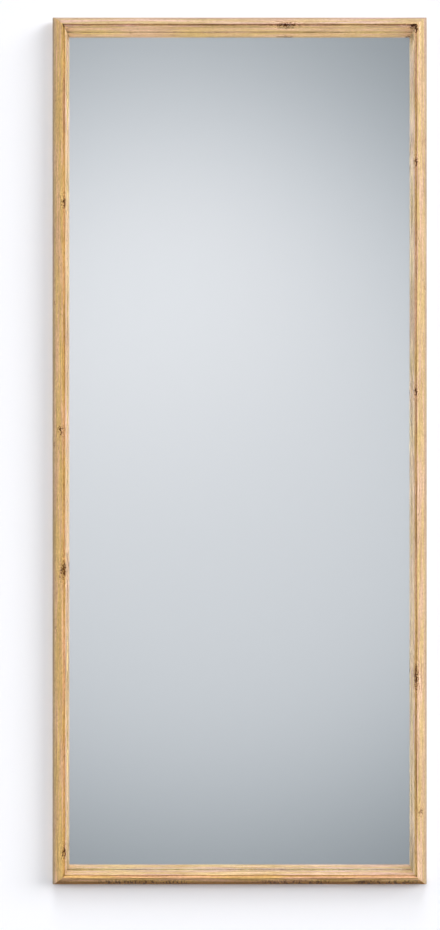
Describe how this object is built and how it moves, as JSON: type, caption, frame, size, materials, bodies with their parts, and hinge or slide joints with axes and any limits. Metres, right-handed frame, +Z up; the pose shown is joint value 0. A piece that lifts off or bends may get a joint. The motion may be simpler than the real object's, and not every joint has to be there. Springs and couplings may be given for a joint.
{
  "type": "wall mirror",
  "caption": "Full-length rectangular wall mirror in a mitred oak moulding, with a backing board, strap hangers with swinging D-rings, and wall bumpers.",
  "frame": {"origin": "on the wall plane, behind the centre of the mirror: the four bumpers end in this plane", "axes": "+Z up along the frame's long side, +Y into the wall, +X to the viewer's right; the mirror looks along -Y"},
  "size_m": [0.7, 0.035, 1.62],
  "materials": {
    "oak": "satin clear lacquer",
    "clear_glass": "polished float",
    "silvering": "silver coat behind the glass",
    "fibreboard": "smooth hardboard",
    "zinc_plate": "bright zinc plate",
    "bright_steel": "bare spring steel",
    "black_rubber": "matte",
    "grey_rubber": "soft matte"
  },
  "bodies": {
    "mirror": {"frame_left_stile": "oak", "frame_right_stile": "oak", "frame_top_rail": "oak", "frame_bottom_rail": "oak", "corner_v_nails": "bright_steel", "mirror_glass": "clear_glass", "mirror_silvering": "silvering", "glass_setting_blocks": "black_rubber", "backing_board": "fibreboard", "framers_points": "bright_steel", "hanger_strap_upright_left": "zinc_plate", "hanger_strap_upright_right": "zinc_plate", "hanger_strap_sideways_top": "zinc_plate", "hanger_strap_sideways_bottom": "zinc_plate", "hanger_screws": "zinc_plate", "wall_bumpers": "grey_rubber"},
    "ring_upright_left": {"d_ring_upright_left": "zinc_plate"},
    "ring_upright_right": {"d_ring_upright_right": "zinc_plate"},
    "ring_sideways_top": {"d_ring_sideways_top": "zinc_plate"},
    "ring_sideways_bottom": {"d_ring_sideways_bottom": "zinc_plate"}
  },
  "joints": [
    {"name": "ring_swing_upright_left", "type": "hinge", "parent": "mirror", "child": "ring_upright_left", "pos_m": [-0.33925, -0.00287, 0.51], "axis": [-1, 0, 0], "range_deg": [0, 174]},
    {"name": "ring_swing_upright_right", "type": "hinge", "parent": "mirror", "child": "ring_upright_right", "pos_m": [0.33925, -0.00287, 0.51], "axis": [-1, 0, 0], "range_deg": [0, 174]},
    {"name": "ring_swing_sideways_top", "type": "hinge", "parent": "mirror", "child": "ring_sideways_top", "pos_m": [0.175, -0.00287, 0.79925], "axis": [0, 0, 1], "range_deg": [0, 174]},
    {"name": "ring_swing_sideways_bottom", "type": "hinge", "parent": "mirror", "child": "ring_sideways_bottom", "pos_m": [0.175, -0.00287, -0.79925], "axis": [0, 0, 1], "range_deg": [0, 174]}
  ]
}
